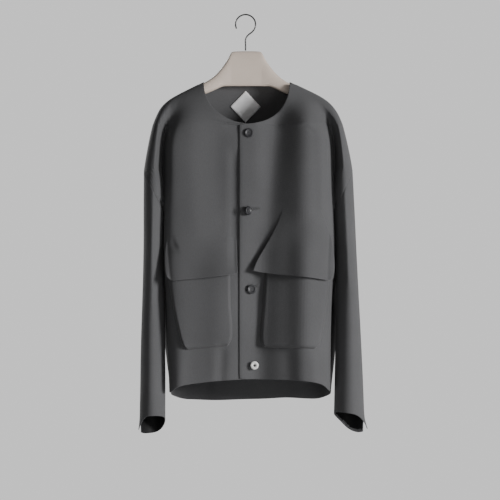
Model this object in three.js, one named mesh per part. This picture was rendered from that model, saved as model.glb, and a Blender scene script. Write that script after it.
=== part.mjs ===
// Collarless blouson on a contoured hanger.
// Units are millimetres, +Z is up, +X is the viewer's right and the front faces -Y.
// The origin is the inside top of the hook, where a rail carries it.
// Heights on the garment are drops below the hanger's flat top.

import * as THREE from 'three';

// Driving dimensions

const HANGER_TOP = -74;
const CLOTH = 1.6;
const SEAM = 0.3;
const REST_GAP = 0.5;

const NECK_POINT_DROP = 65;
const NECK_FLOOR_DROP = 160;
const BACK_NECK_DROP = 67;
const NECK_ROUNDING = 2.3;
const PLACKET_X = -12;
const UNDERLAP_X = 28;
// The under front lies deeper from here on towards the placket, and deepest along its edge.
const TUCK = { start: -36, over: 20, depth: 3.4, edge: -17, edgeWidth: 9, edgeDepth: 4 };

const ARMHOLE_TOP = 251;
const ARMHOLE_FOOT = 338;
const ARMHOLE_SIDES = 16;
const ARMHOLE_GAP = 1.4;
// The crease between body and sleeve starts and is full at these drops, and the front's edge
// beside it stands out by these shares of the depth.
const CREASE_TOP = 98;
const CREASE_FULL = 200;
const EDGE_LIFT = { left: 1.03, right: 0.95 };
// The place of the outer edge on a section, and how far round the sleeve its cap reaches.
const EDGE_PLACE = 8;
const CAP_TURN = 2.7;
// The share of the armhole's height over which the section follows the sleeve's cap.
const CAP_HOLD = 0.7;
const CAP_FADE = 0.25;

// The fronts' hem falls away from the placket, by a power of the distance to the side.
const FRONT_HEM = { centre: 677, fallLeft: 26, fallRight: 23, powerLeft: 1.6, powerRight: 2.2 };
const BACK_HEM_CENTRE = 715;
// The share of its way round at which the front's hem has fallen fully, and the share at which
// the back's hem starts to rise.
const FRONT_HEM_REACH = 0.48;
const BACK_HEM_FLAT = 0.55;
const VENT_LENGTH = 26;
const VENT_TURN = 346;
const VENT_WIDTH = 3;
const VENT_OPEN = 9;
const VENT_FLARE = { left: 2, right: 6 };
const VENT_FLARE_TURN = 50;

const BUTTON_RADIUS = 9.4;
const BUTTON_DEPTH = 3.6;
const LABEL_SIDE = 45;
const LABEL_DROP = 111;
const LABEL_CLOTH = 0.7;

const WIRE_RADIUS = 1.75;
const HOOK_INSIDE = 19;
// The stem's upper end and the bend above it, below the origin, and the bend's turn in degrees.
const HOOK_STEM = [60, 50];
const HOOK_SHOULDER = { x: 4.5, drop: 42 };
const HOOK_BEND = { from: -48, to: 205, points: 12 };

const LEFT = -1;
const RIGHT = 1;
const FRONT = -1;
const BACK = 1;

// Tables

const table = (names, rows) => rows.map((row) => (
  Object.fromEntries(names.map((name, k) => [name, row[k]]))));

// Half widths of the silhouette, from the neck point over the shoulder to the armhole seam.
const OUTLINE = table(['drop', 'left', 'right'], [
  [65, 86, 91],
  [78, 112, 119],
  [90, 136, 144],
  [101, 157, 165],
  [112, 170, 177],
  [123, 177, 185],
  [135, 183, 192],
  [159, 192, 201],
  [196, 200, 210],
  [230, 206, 217],
  [251, 209, 220],
]);

// How far the cloth stands in front of and behind the shoulder line.
const DEPTH = table(['drop', 'front', 'back'], [
  [65, 28, 26],
  [90, 34, 34],
  [135, 43, 46],
  [160, 47, 52],
  [251, 56, 66],
  [338, 61, 74],
  [500, 70, 86],
  [713, 76, 96],
]);

// Half widths of the body at its side seams, below the armholes, and how much wider the back
// is behind the sleeves.
const BODY = table(['drop', 'left', 'right', 'spreadLeft', 'spreadRight'], [
  [338, 164.5, 179, 0, 0],
  [420, 165.5, 181, 4, 4],
  [500, 160.5, 175, 9, 12],
  [590, 157, 172, 11, 16],
  [713, 152.5, 171, 0, 4],
]);

// Sleeves: outer and inner edges, the middle's place along Y, and half the depth.
const SLEEVE = table(['drop', 'outerLeft', 'innerLeft', 'outerRight', 'innerRight', 'middle', 'reach'], [
  [251, 209, 165.5, 220, 180, 0, 54],
  [338, 209, 165.5, 224, 180, 0, 58],
  [420, 209, 168, 227, 184, -2, 60],
  [500, 210, 165, 231, 183.5, -5, 58],
  [590, 212.5, 162.5, 235, 182, -10, 54],
  [680, 213.5, 161, 238.5, 179.5, -16, 51],
  [790, 214, 160.5, 241, 176.5, -23, 50],
]);

// Cuffs: how low the cut is at each turn round the sleeve, from the outer edge over the front.
const CUFF = table(['turn', 'left', 'right'], [
  [0, 778, 776],
  [30, 768, 762],
  [55, 753, 750],
  [90, 751, 746],
  [135, 751, 743],
  [180, 756, 745],
  [235, 778, 758],
  [262, 784, 773],
  [285, 785, 781],
  [325, 786, 784],
  [360, 778, 776],
]);

// Large soft folds: the line that each runs along, its half width there, and how far it
// stands out.
const FOLD_FADE = 75;
// The folds end over these places on a section, towards its outer edge.
const FOLD_END = { place: 6.4, over: 2.4 };
const FOLDS = table(['face', 'topDrop', 'topX', 'topWidth', 'footDrop', 'footX', 'footWidth', 'lift'], [
  [FRONT, 90, 62, 32, 900, -5, 46, -13],
  [FRONT, 90, 129, 34, 900, 126, 40, 15],
  [FRONT, 150, -56, 50, 460, -60, 50, -4],
  [FRONT, 380, -88, 36, 900, -92, 34, -6],
  [BACK, 150, -86, 34, 900, -98, 36, 9],
  [BACK, 200, -24, 30, 900, -30, 30, -9],
  [BACK, 160, 60, 34, 900, 82, 36, 9],
  [BACK, 280, 126, 22, 900, 132, 24, -6],
]);

// Flaps: inner and outer edge, from the line where each leaves the front to its lower edge.
const FLAP_LEFT = table(['drop', 'inner', 'outer'], [
  [400, -26, -158],
  [425, -23, -161],
  [452, -20, -163],
  [466, -18, -160],
]);
const FLAP_RIGHT = table(['drop', 'inner', 'outer'], [
  [332, 75, 152],
  [355, 68, 162],
  [385, 54, 174],
  [412, 39, 179],
  [441, 23, 179],
  [459, 16, 176],
]);
const FLAP_LIFT = 16;
const FLAP_OUTER_DROP = { left: 15, right: 22 };
const FLAP_CORNER = 9;
const FLAP_CORNER_FROM = 0.88;

// Pockets: inner and outer edge from mouth to bottom.
const POCKET_LEFT = table(['drop', 'inner', 'outer'], [
  [450, -31, -160],
  [530, -29, -146],
  [590, -26, -132],
  [620, -30, -120],
]);
const POCKET_RIGHT = table(['drop', 'inner', 'outer'], [
  [448, 41, 171],
  [530, 35, 164],
  [590, 31, 154],
  [618, 33, 145],
]);
// Clearance of what lies on a front, so that the flat facets of both stay apart.
const LAID_GAP = { flapLeft: 1.35, flapRight: 0.9, pocketLeft: 0.6, pocketRight: 1.4 };

const POCKET_LIFT_MOUTH = 9;
const POCKET_LIFT = 12;
// How much higher a pocket's bottom is at its inner corner.
const POCKET_TILT = { left: 9, right: 4 };
// The share of its height at which a pocket stands off fully, and the shares over which its
// sides and its bottom turn back.
const POCKET_FULL = 0.45;
const POCKET_TURN = { side: 0.06, foot: 0.05 };

// Buttons down the placket, with how far each is turned about its upright axis, and how far
// its edge stands off the curved cloth.
const BUTTONS = table(['x', 'drop', 'turn', 'stand'], [
  [6.8, 178, 0, 0.4],
  [4.9, 338, 40, -0.9],
  [12, 497, 0, 1.3],
  [18.2, 650, 0, 2.1],
]);

// Hanger: half outline from its middle, down to the neck points.
const HANGER_CENTRE = 1.9;
const HANGER = table(['drop', 'from', 'under', 'thick'], [
  [0, 29, 74.5, 6],
  [3, 32, 74.5, 6.2],
  [16, 38, 74.5, 6.8],
  [31, 47.5, 74.5, 7.4],
  [46, 59, 79, 8],
  [58, 72, 86, 8.6],
]);
const HANGER_END = 149;
const ARM_HEIGHT = 24;
const ARM_THICK = 10;

// Small helpers

const mix = (a, b, share) => a + (b - a) * share;
const clamp = (value) => Math.min(1, Math.max(0, value));
const smooth = (value) => clamp(value) ** 2 * (3 - 2 * clamp(value));
const height = (drop) => HANGER_TOP - drop;
const sideName = (side) => (side < 0 ? 'left' : 'right');

// Reads a column at a drop, or at another key, on a smooth curve through the rows.
function read(rows, name, at, key = 'drop') {
  const last = rows.length - 1;
  let k = 0;
  while (k < last - 1 && at > rows[k + 1][key]) k += 1;
  const slope = (row) => {
    const above = rows[Math.max(row - 1, 0)];
    const below = rows[Math.min(row + 1, last)];
    return (below[name] - above[name]) / (below[key] - above[key]);
  };
  const span = rows[k + 1][key] - rows[k][key];
  const t = clamp((at - rows[k][key]) / span);
  const start = rows[k][name] * (1 + 2 * t) * (1 - t) ** 2 + slope(k) * span * t * (1 - t) ** 2;
  return start + rows[k + 1][name] * t * t * (3 - 2 * t) + slope(k + 1) * span * t * t * (t - 1);
}

// A closed cloth wall on a grid of outer points. Quads that skip names are left out, and every
// open edge gets a rim. normalAt may give the outward normal of a point on a seam.
function clothWall(grid, { closed = false, flip = false, skip = () => false, seam = () => false,
  normalAt = () => null, thickness = CLOTH } = {}) {
  const rows = grid.length;
  const columns = grid[0].length;
  const at = (i, j) => grid[i][closed ? (j + columns) % columns : Math.min(Math.max(j, 0), columns - 1)];
  const corners = [];
  const inner = [];
  for (let i = 0; i < rows; i += 1) {
    for (let j = 0; j < columns; j += 1) {
      const across = new THREE.Vector3().subVectors(at(i, j + 1), at(i, j - 1));
      const below = at(Math.min(i + 1, rows - 1), j);
      const along = new THREE.Vector3().subVectors(below, at(Math.max(i - 1, 0), j));
      const normal = normalAt(i, j) ?? along.cross(across).multiplyScalar(flip ? -1 : 1);
      if (seam(i, j)) normal.y = 0;
      normal.normalize();
      corners.push(grid[i][j]);
      inner.push(grid[i][j].clone().addScaledVector(normal, -thickness));
    }
  }
  const count = corners.length;
  const faces = [];
  const edges = new Map();
  const lastColumn = closed ? columns : columns - 1;
  for (let i = 0; i < rows - 1; i += 1) {
    for (let j = 0; j < lastColumn; j += 1) {
      if (skip(i, j)) continue;
      const next = (j + 1) % columns;
      const quad = [i * columns + j, (i + 1) * columns + j, (i + 1) * columns + next, i * columns + next];
      if (flip) quad.reverse();
      faces.push([quad[0], quad[1], quad[2]], [quad[0], quad[2], quad[3]]);
      faces.push([quad[2] + count, quad[1] + count, quad[0] + count]);
      faces.push([quad[3] + count, quad[2] + count, quad[0] + count]);
      quad.forEach((from, k) => edges.set(`${from}_${quad[(k + 1) % 4]}`, [from, quad[(k + 1) % 4]]));
    }
  }
  edges.forEach(([from, to]) => {
    if (edges.has(`${to}_${from}`)) return;
    faces.push([to, from, from + count], [to, from + count, to + count]);
  });
  return closedGeometry([...corners, ...inner], faces);
}

// Makes an indexed geometry from points and faces, with only the points in use.
function closedGeometry(points, faces) {
  const used = new Map();
  const positions = [];
  const index = faces.flat().map((corner) => {
    if (!used.has(corner)) {
      used.set(corner, used.size);
      positions.push(points[corner].x, points[corner].y, points[corner].z);
    }
    return used.get(corner);
  });
  const geometry = new THREE.BufferGeometry();
  geometry.setAttribute('position', new THREE.Float32BufferAttribute(positions, 3));
  geometry.setIndex(index);
  geometry.computeVertexNormals();
  return geometry;
}

// Body sections

// A point on the seam between body and sleeve, and on the sleeve below it. turn runs from
// the outer edge over the front to the inner edge and on round the back.
function sleevePoint(side, turn, drop) {
  const name = side < 0 ? 'Left' : 'Right';
  const share = (1 - Math.cos(turn)) / 2;
  const x = mix(read(SLEEVE, `outer${name}`, drop), read(SLEEVE, `inner${name}`, drop), share);
  const y = read(SLEEVE, 'middle', drop) - read(SLEEVE, 'reach', drop) * Math.sin(turn);
  return new THREE.Vector3(side * x, y, height(drop));
}

// The sleeve's outward normal at a point.
function sleeveNormal(side, turn, drop) {
  const around = sleevePoint(side, turn + 0.02, drop).sub(sleevePoint(side, turn - 0.02, drop));
  const down = sleevePoint(side, turn, drop + 2).sub(sleevePoint(side, turn, drop - 2));
  return around.cross(down).multiplyScalar(side).normalize();
}

const armholeDrop = (turn) => mix(ARMHOLE_TOP, ARMHOLE_FOOT, (1 - Math.cos(turn)) / 2);
const armholeTurn = (drop) => Math.acos(1 - 2 * clamp((drop - ARMHOLE_TOP) / (ARMHOLE_FOOT - ARMHOLE_TOP)));

// Control points of half a body section, from past the centre line to its outer edge.
// Over the shoulders it is a lens, at the armhole it has a crease between body and sleeve,
// and below the armhole it is the body alone. The last point lies beyond the edge.
function controls(side, face, drop) {
  const depth = read(DEPTH, face < 0 ? 'front' : 'back', drop);
  const wide = read(OUTLINE, sideName(side), Math.min(drop, ARMHOLE_TOP));
  const low = Math.max(drop, ARMHOLE_FOOT);
  const trunk = read(BODY, sideName(side), low);
  const spread = face === BACK ? read(BODY, side < 0 ? 'spreadLeft' : 'spreadRight', low) : 0;
  const arm = read(SLEEVE, 'reach', ARMHOLE_TOP);
  const lens = Array.from({ length: EDGE_PLACE }, (_, k) => {
    const angle = (k * Math.PI) / (2 * (EDGE_PLACE - 1));
    return [wide * Math.sin(angle), depth * Math.max(0, Math.cos(angle)) ** 0.8];
  });
  const creased = [
    [0, depth],
    [0.45 * trunk, depth],
    [0.85 * trunk, EDGE_LIFT[sideName(side)] * depth],
    [trunk - 9, 0.8 * depth],
    [trunk + 4, 0.13 * depth],
    [mix(trunk, wide, 0.4), 0.97 * arm],
    [mix(trunk, wide, 0.81), 0.78 * arm],
    [wide, 0],
  ];
  const split = [
    [0, depth],
    [0.45 * trunk, depth],
    [0.83 * trunk, 0.96 * depth],
    [0.955 * trunk + 0.5 * spread, 0.8 * depth],
    [trunk + 0.9 * spread, 0.52 * depth],
    [1.003 * trunk + 0.7 * spread, 0.3 * depth],
    [1.003 * trunk + 0.3 * spread, 0.13 * depth],
    [trunk, 0],
  ];
  const creaseShare = smooth((drop - CREASE_TOP) / (CREASE_FULL - CREASE_TOP));
  const splitShare = clamp((drop - ARMHOLE_TOP) / (ARMHOLE_FOOT - ARMHOLE_TOP));
  const points = lens.map((point, k) => point.map((value, axis) => (
    mix(mix(value, creased[k][axis], creaseShare), split[k][axis], splitShare))));
  const last = EDGE_PLACE - 1;
  points.push([points[last - 1][0], -points[last - 1][1]]);
  if (splitShare > 0 && splitShare < 1) {
    const seamTurn = armholeTurn(drop);
    const capShare = 1 - smooth((splitShare - CAP_HOLD) / CAP_FADE);
    [2, 1, 0, -1].forEach((step) => {
      const cap = sleevePoint(side, mix(seamTurn, CAP_TURN, step / 3), drop);
      const target = [Math.abs(cap.x), -cap.y];
      const share = step === 0 ? 1 : capShare;
      points[last - step] = points[last - step].map((value, axis) => mix(value, target[axis], share));
    });
  }
  points.unshift([-points[1][0], points[1][1]]);
  return points;
}

// A point on a spline through the controls. place runs from 0 to the outer edge.
function onControls(points, place) {
  const k = Math.min(Math.floor(place), EDGE_PLACE - 1);
  const t = place - k;
  return [0, 1].map((axis) => {
    const value = (index) => points[Math.max(index, 0)][axis];
    const [before, start, end, after] = [value(k - 1), value(k), value(k + 1), value(k + 2)];
    const head = start * (1 + 2 * t) * (1 - t) ** 2 + ((end - before) / 2) * t * (1 - t) ** 2;
    return head + end * t * t * (3 - 2 * t) + ((after - start) / 2) * t * t * (t - 1);
  });
}

// The place on a section at a given distance from the centre line.
function placeOf(points, distance) {
  let low = 0;
  let high = 6;
  for (let k = 0; k < 30; k += 1) {
    const middle = (low + high) / 2;
    if (onControls(points, middle)[0] < distance) low = middle;
    else high = middle;
  }
  return low;
}

// How far the large folds move a face out at a point.
function foldLift(face, x, drop) {
  return FOLDS.filter((fold) => fold.face === face).reduce((sum, fold) => {
    const along = clamp((drop - fold.topDrop) / (fold.footDrop - fold.topDrop));
    const width = mix(fold.topWidth, fold.footWidth, along);
    const away = (x - mix(fold.topX, fold.footX, along)) / width;
    const fade = smooth((drop - fold.topDrop) / FOLD_FADE) * smooth((fold.footDrop - drop) / FOLD_FADE);
    return sum + fold.lift * fade * Math.exp(-away * away);
  }, 0);
}

// How far the under front lies behind the over front near the placket.
const tuck = (x) => TUCK.depth * smooth((x - TUCK.start) / TUCK.over)
  + TUCK.edgeDepth * Math.exp(-(((x - TUCK.edge) / TUCK.edgeWidth) ** 2));

// A point of the body at a place on its section.
function bodyPoint(side, face, drop, place) {
  const [x, y] = onControls(controls(side, face, drop), place);
  const edgeFade = smooth((FOLD_END.place - place) / FOLD_END.over);
  const out = y + foldLift(face, side * x, drop) * edgeFade;
  const under = face === FRONT && side === LEFT ? tuck(side * x) : 0;
  return new THREE.Vector3(side * x, face * (out - under), height(drop));
}

// A point of the body at a given X, moved out by a distance.
function onBody(side, face, x, drop, out) {
  const reach = read(BODY, sideName(side), Math.max(drop, ARMHOLE_FOOT)) - 12;
  const distance = Math.min(side * x, reach);
  const point = bodyPoint(side, face, drop, placeOf(controls(side, face, drop), distance));
  return new THREE.Vector3(x, point.y + face * out, point.z);
}

// Panels

const NECK_ROWS = [4, 12, 22, 33, 44, 56, 68, 79, 87].map((angle) => (
  mix(NECK_POINT_DROP, NECK_FLOOR_DROP, Math.sin((angle * Math.PI) / 180))));
const YOKE_ROWS = [161, 182, 205, 229];
const ARMHOLE_ROWS = Array.from({ length: ARMHOLE_SIDES / 2 + 1 }, (_, k) => (
  armholeDrop((2 * Math.PI * k) / ARMHOLE_SIDES)));
const BODY_ROWS = [0.06, 0.15, 0.26, 0.38, 0.5, 0.62, 0.74, 0.87, 1];

// Where the front's edge starts at a drop: on the neckline, then down the placket.
function frontStart(side, drop) {
  const edge = side === RIGHT ? PLACKET_X : UNDERLAP_X;
  const reach = read(OUTLINE, sideName(side), NECK_POINT_DROP) - side * edge;
  const fall = clamp((drop - NECK_POINT_DROP) / (NECK_FLOOR_DROP - NECK_POINT_DROP));
  return side * edge + reach * (1 - fall ** NECK_ROUNDING) ** (1 / NECK_ROUNDING);
}

function isSeamRow(drop) {
  return drop <= ARMHOLE_TOP || drop >= ARMHOLE_FOOT;
}

// On the armhole seam a panel's wall leans as the sleeve's does.
function seamNormal(side, face, drop) {
  if (drop === undefined || isSeamRow(drop)) return null;
  const turn = armholeTurn(drop);
  return sleeveNormal(side, face === FRONT ? turn : 2 * Math.PI - turn, drop);
}

// The drop of a front's hem at a share of its way from placket to side seam.
function frontHem(side, share) {
  const name = side < 0 ? 'Left' : 'Right';
  const away = clamp(share / FRONT_HEM_REACH);
  return FRONT_HEM.centre + FRONT_HEM[`fall${name}`] * away ** FRONT_HEM[`power${name}`];
}

// One front, from the neckline and placket to the shoulder, armhole and side seams.
function frontPanel(side) {
  const columns = 20;
  const upper = [...NECK_ROWS, ...YOKE_ROWS, ...ARMHOLE_ROWS];
  const rowAt = (dropAt) => Array.from({ length: columns + 1 }, (_, j) => {
    const drop = dropAt(j / columns);
    const points = controls(side, FRONT, drop);
    const start = placeOf(points, frontStart(side, drop));
    const point = bodyPoint(side, FRONT, drop, mix(start, EDGE_PLACE, j / columns));
    if (j === columns && isSeamRow(drop)) point.y = -SEAM / 2;
    return point;
  });
  const hem = (share) => frontHem(side, share);
  const grid = [
    ...upper.map((drop) => rowAt(() => drop)),
    ...BODY_ROWS.map((row) => rowAt((share) => mix(ARMHOLE_FOOT, hem(share), row))),
  ];
  const seam = (i, j) => j === columns && (i >= upper.length - 1 || upper[i] <= ARMHOLE_TOP);
  const normalAt = (i, j) => (j === columns ? seamNormal(side, FRONT, upper[i]) : null);
  return clothWall(grid, { flip: side === LEFT, seam, normalAt });
}

// The back, from one side to the other under a nearly flat neckline.
function backPanel() {
  const half = 17;
  const neck = BACK_NECK_DROP - NECK_POINT_DROP;
  const top = [NECK_POINT_DROP + 1, 72, 82, 95, 112, 135, ...YOKE_ROWS, ...ARMHOLE_ROWS];
  const rowAt = (dropAt) => Array.from({ length: 2 * half + 1 }, (_, j) => {
    const side = j < half ? LEFT : RIGHT;
    const share = Math.abs(j - half) / half;
    const drop = dropAt(share, side);
    const point = bodyPoint(side, BACK, drop, mix(1, EDGE_PLACE, share));
    if (share === 1 && isSeamRow(drop)) point.y = SEAM / 2;
    return point;
  });
  const rise = (share) => smooth((share - BACK_HEM_FLAT) / (1 - BACK_HEM_FLAT));
  const hem = (side, share) => mix(BACK_HEM_CENTRE, frontHem(side, 1), rise(share));
  const grid = [
    ...top.map((drop, i) => rowAt((share) => drop + (i === 0 ? neck * (1 - share ** 4) - 1 : 0))),
    ...BODY_ROWS.map((row) => rowAt((share, side) => mix(ARMHOLE_FOOT, hem(side, share), row))),
  ];
  const edge = (j) => j === 0 || j === 2 * half;
  const seam = (i, j) => edge(j) && (i >= top.length - 1 || top[i] <= ARMHOLE_TOP);
  const normalAt = (i, j) => (edge(j) ? seamNormal(j === 0 ? LEFT : RIGHT, BACK, top[i]) : null);
  return clothWall(grid, { flip: true, seam, normalAt });
}

// A sleeve, from the slanted armhole seam to the cuff, with a vent in the outer edge whose
// front corner flares out.
function sleeve(side) {
  const degree = Math.PI / 180;
  const regular = Array.from({ length: ARMHOLE_SIDES }, (_, k) => (360 * k) / ARMHOLE_SIDES);
  const turns = [...regular, VENT_TURN, VENT_TURN + VENT_WIDTH].sort((a, b) => a - b);
  const ventColumn = turns.indexOf(VENT_TURN);
  const ventRow = 1 - VENT_LENGTH / (CUFF[0][sideName(side)] - ARMHOLE_TOP);
  const rows = [0, 0.05, 0.12, 0.22, 0.33, 0.45, 0.57, 0.69, 0.8, 0.89, ventRow, (1 + ventRow) / 2, 1];
  const openShare = (i) => clamp((rows[i] - ventRow) / (1 - ventRow));
  const turnAt = (i, j) => {
    const opening = VENT_OPEN * openShare(i) * ((j === ventColumn + 1) - (j === ventColumn));
    return (turns[j] + opening) * degree;
  };
  const dropAt = (i, turn) => {
    const cuff = read(CUFF, sideName(side), (turn / degree) % 360, 'turn');
    return mix(armholeDrop(turn) + ARMHOLE_GAP, cuff, rows[i]);
  };
  const grid = rows.map((_, i) => [...turns.keys()].map((j) => {
    const turn = turnAt(i, j);
    const point = sleevePoint(side, turn, dropAt(i, turn));
    const ahead = j > ventColumn ? 0 : turns[j] / VENT_FLARE_TURN;
    const flare = j === ventColumn ? 0 : VENT_FLARE[sideName(side)] * (1 - smooth(ahead));
    point.x += side * flare * openShare(i) ** 1.5;
    return point;
  }));
  return clothWall(grid, {
    closed: true,
    flip: side === RIGHT,
    skip: (i, j) => rows[i] >= ventRow && j === ventColumn,
    normalAt: (i, j) => sleeveNormal(side, turnAt(i, j), dropAt(i, turnAt(i, j))),
  });
}

// A flap that leaves the front at its top and stands off it at its lower edge.
function flap(side, rows, gap) {
  const columns = 14;
  const top = rows[0].drop;
  const foot = rows[rows.length - 1].drop;
  const steps = [0, 0.16, 0.36, 0.58, 0.8, 1];
  const grid = steps.map((step) => Array.from({ length: columns + 1 }, (_, j) => {
    const share = j / columns;
    const round = smooth((share - FLAP_CORNER_FROM) / (1 - FLAP_CORNER_FROM));
    const corner = FLAP_CORNER * round * step ** 3;
    const slant = FLAP_OUTER_DROP[sideName(side)] * share ** 0.8;
    const row = mix(top, foot, step);
    const x = mix(read(rows, 'inner', row), read(rows, 'outer', row), share);
    return onBody(side, FRONT, x, mix(top, foot + slant - corner, step), gap + CLOTH + FLAP_LIFT * step);
  }));
  return clothWall(grid, { flip: side === LEFT });
}

// A patch pocket whose sides and bottom turn back to the front.
function pocket(side, rows, gap) {
  const foot = rows[rows.length - 1].drop;
  const top = rows[0].drop;
  const across = [0, 0.012, 0.06, 0.15, 0.28, 0.42, 0.56, 0.7, 0.83, 0.94, 0.988, 1];
  const down = [0, 0.14, 0.32, 0.5, 0.68, 0.85, 0.95, 0.992, 1];
  const grid = down.map((step) => across.map((share) => {
    const row = mix(top, foot, step);
    const x = mix(read(rows, 'inner', row), read(rows, 'outer', row), share);
    const drop = row - POCKET_TILT[sideName(side)] * (1 - share) * step ** 2;
    const full = mix(POCKET_LIFT_MOUTH, POCKET_LIFT, smooth(step / POCKET_FULL));
    const sideShare = clamp(Math.min(share, 1 - share) / POCKET_TURN.side) ** 0.5;
    const footShare = clamp((1 - step) / POCKET_TURN.foot) ** 0.5;
    const out = gap + CLOTH + (full - CLOTH) * Math.min(sideShare, footShare);
    return onBody(side, FRONT, x, drop, out);
  }));
  return clothWall(grid, { flip: side === LEFT });
}

// The bare square label, on its corner against the inside of the back.
function label() {
  const half = LABEL_SIDE / 2;
  const steps = [-1, -0.5, 0, 0.5, 1];
  const grid = steps.map((a) => steps.map((b) => {
    const x = ((b - a) * half) / Math.SQRT2;
    const drop = LABEL_DROP + ((a + b) * half) / Math.SQRT2;
    const side = x < 0 ? LEFT : RIGHT;
    const point = bodyPoint(side, BACK, drop, placeOf(controls(side, BACK, drop), Math.abs(x)));
    point.y -= CLOTH + 2 * REST_GAP + LABEL_CLOTH;
    point.x = x;
    return point;
  }));
  return clothWall(grid, { flip: false, thickness: LABEL_CLOTH });
}

// Buttons

function buttonGeometry() {
  const profile = [
    [0, 0],
    [BUTTON_RADIUS - 0.8, 0],
    [BUTTON_RADIUS, 0.8],
    [BUTTON_RADIUS, BUTTON_DEPTH - 1],
    [BUTTON_RADIUS - 1.2, BUTTON_DEPTH],
    [BUTTON_RADIUS - 2.8, BUTTON_DEPTH - 0.3],
    [BUTTON_RADIUS - 4, BUTTON_DEPTH - 1.1],
    [0, BUTTON_DEPTH - 1.1],
  ].map(([radius, along]) => new THREE.Vector2(radius, along));
  return new THREE.LatheGeometry(profile, 20);
}

// Sets a button on the placket, square to the cloth there apart from its own turn.
function placeButton(mesh, row) {
  const [before, after] = [-BUTTON_RADIUS, BUTTON_RADIUS].map((across) => (
    onBody(RIGHT, FRONT, row.x + across, row.drop, 0)));
  const lean = Math.atan2(after.y - before.y, 2 * BUTTON_RADIUS);
  const turn = THREE.MathUtils.degToRad(row.turn);
  const lift = BUTTON_RADIUS * Math.sin(turn) + row.stand;
  mesh.position.copy(onBody(RIGHT, FRONT, row.x, row.drop, lift));
  mesh.rotation.set(Math.PI, 0, turn + lean, 'ZXY');
  return mesh;
}

// Hanger and hook

// The drop of the shoulder line at a distance from the centre.
function shoulderDrop(side, distance) {
  let low = NECK_POINT_DROP;
  let high = ARMHOLE_TOP;
  for (let k = 0; k < 30; k += 1) {
    const middle = (low + high) / 2;
    if (read(OUTLINE, sideName(side), middle) < distance) low = middle;
    else high = middle;
  }
  return low;
}

// Sections across the hanger: its place, top, underside and half thickness.
function hangerStations(side) {
  const neck = HANGER.map((row) => ({
    x: HANGER_CENTRE + side * row.from,
    top: row.drop,
    under: row.under,
    thick: row.thick,
  }));
  const arm = [88, 98, 112, 126, 140, HANGER_END - 3, HANGER_END].map((distance) => {
    const rest = shoulderDrop(side, distance) + CLOTH * 1.15 + REST_GAP;
    const tip = distance === HANGER_END ? 5 : 0;
    return {
      x: side * distance,
      top: rest + tip,
      under: rest + ARM_HEIGHT - tip,
      thick: ARM_THICK - tip,
    };
  });
  return [...neck, ...arm];
}

function hangerGeometry() {
  const sides = 12;
  const stations = [...hangerStations(LEFT).reverse(), ...hangerStations(RIGHT)];
  const points = [];
  stations.forEach(({ x, top, under, thick }) => {
    for (let k = 0; k < sides; k += 1) {
      const angle = (2 * Math.PI * k) / sides;
      const across = Math.sign(Math.sin(angle)) * Math.abs(Math.sin(angle)) ** 0.7;
      const up = Math.sign(Math.cos(angle)) * Math.abs(Math.cos(angle)) ** 0.85;
      const drop = mix(top, under, (1 - up) / 2);
      points.push(new THREE.Vector3(x, thick * across, height(drop)));
    }
  });
  const faces = [];
  for (let i = 0; i < stations.length - 1; i += 1) {
    for (let k = 0; k < sides; k += 1) {
      const next = (k + 1) % sides;
      const [a, b, c, d] = [i * sides + k, i * sides + next, (i + 1) * sides + next, (i + 1) * sides + k];
      faces.push([a, c, b], [a, d, c]);
    }
  }
  const last = (stations.length - 1) * sides;
  for (let k = 1; k < sides - 1; k += 1) {
    faces.push([0, k, k + 1], [last, last + k + 1, last + k]);
  }
  return closedGeometry(points, faces);
}

function hookGeometry() {
  const ring = HOOK_INSIDE + WIRE_RADIUS;
  const stem = [-HANGER_TOP - SEAM, ...HOOK_STEM].map((drop) => new THREE.Vector3(0, 0, -drop));
  const shoulder = new THREE.Vector3(HOOK_SHOULDER.x, 0, -HOOK_SHOULDER.drop);
  const bend = Array.from({ length: HOOK_BEND.points }, (_, k) => {
    const share = k / (HOOK_BEND.points - 1);
    const angle = THREE.MathUtils.degToRad(mix(HOOK_BEND.from, HOOK_BEND.to, share));
    return new THREE.Vector3(ring * Math.cos(angle), 0, ring * Math.sin(angle) - HOOK_INSIDE);
  });
  const path = new THREE.CatmullRomCurve3([...stem, shoulder, ...bend], false, 'centripetal');
  const wire = new THREE.Shape();
  for (let k = 0; k < 8; k += 1) {
    const angle = (k * Math.PI) / 4;
    const corner = [WIRE_RADIUS * Math.cos(angle), WIRE_RADIUS * Math.sin(angle)];
    if (k === 0) wire.moveTo(...corner);
    else wire.lineTo(...corner);
  }
  return new THREE.ExtrudeGeometry(wire, { steps: 40, bevelEnabled: false, extrudePath: path });
}

// Assembly

const finish = (color, roughness, metalness = 0) => ({ color, roughness, metalness });
const CHARCOAL = finish(0x4b4b4d, 0.92);
const HORN = finish(0x2d2d2f, 0.45);
const SHELL = finish(0xe4e2de, 0.4);
const LABEL_WHITE = finish(0xdedede, 0.8);
const CREAM = finish(0xd6c8ba, 0.55);
const STEEL = finish(0x4a4a4a, 0.35, 0.9);

const blouson = new THREE.Group();
blouson.name = 'blouson_on_hanger';

function add(name, geometry, look) {
  const mesh = new THREE.Mesh(geometry, new THREE.MeshStandardMaterial(look));
  mesh.name = name;
  blouson.add(mesh);
  return mesh;
}

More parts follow.
